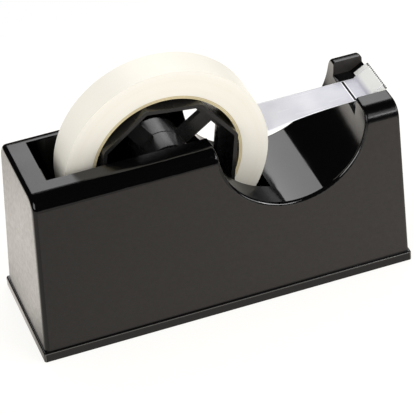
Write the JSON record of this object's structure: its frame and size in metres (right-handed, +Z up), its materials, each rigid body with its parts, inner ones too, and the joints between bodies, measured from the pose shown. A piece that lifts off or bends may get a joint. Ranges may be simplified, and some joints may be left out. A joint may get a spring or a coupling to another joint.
{
  "type": "desktop tape dispenser",
  "caption": "Weighted desktop tape dispenser with a tapered body, finger scoop, toothed cutter and a lift-out spoked hub that carries a roll of film tape.",
  "frame": {"origin": "middle of the underside, where the foam pad rests on the desk", "axes": "+X along the tape's path from the roll to the cutter, +Y across the body, +Z up"},
  "size_m": [0.2, 0.069, 0.1339],
  "materials": {
    "body_plastic": "gloss rims and shoulders, fine matte texture on the side walls",
    "base_plastic": "satin",
    "foam_rubber": "fine foam",
    "zinc_steel": "zinc plated",
    "ballast_iron": "as cast",
    "blade_steel": "bright rolled",
    "film": "clear glossy film",
    "film_roll": "wound film, pale cream from the side",
    "core_board": "plain wound board",
    "hub_plastic": "satin",
    "axle_steel": "turned",
    "washer_plastic": "low friction plastic",
    "clip_steel": "oil blackened"
  },
  "bodies": {
    "dispenser": {"body_shell": "body_plastic", "base_plate": "base_plastic", "nonskid_pad": "foam_rubber", "base_screws": "zinc_steel", "ballast_slab": "ballast_iron", "ballast_nose": "ballast_iron", "ballast_screws": "zinc_steel", "cutter_blade": "blade_steel", "tape_strip": "film"},
    "axle": {"hub_axle": "axle_steel", "washer_near": "washer_plastic", "washer_far": "washer_plastic", "axle_clip_near": "clip_steel", "axle_clip_far": "clip_steel"},
    "roll": {"tape_roll": "film_roll", "cardboard_core": "core_board", "hub_near": "hub_plastic", "hub_far": "hub_plastic"}
  },
  "joints": [
    {"name": "hub_lift", "type": "slide", "parent": "dispenser", "child": "axle", "axis": [0, 0, 1], "range_m": [0, 0.09]},
    {"name": "roll_spin", "type": "hinge", "parent": "axle", "child": "roll", "pos_m": [-0.01882, 0.003, 0.08035], "axis": [0, 1, 0], "continuous": true}
  ]
}
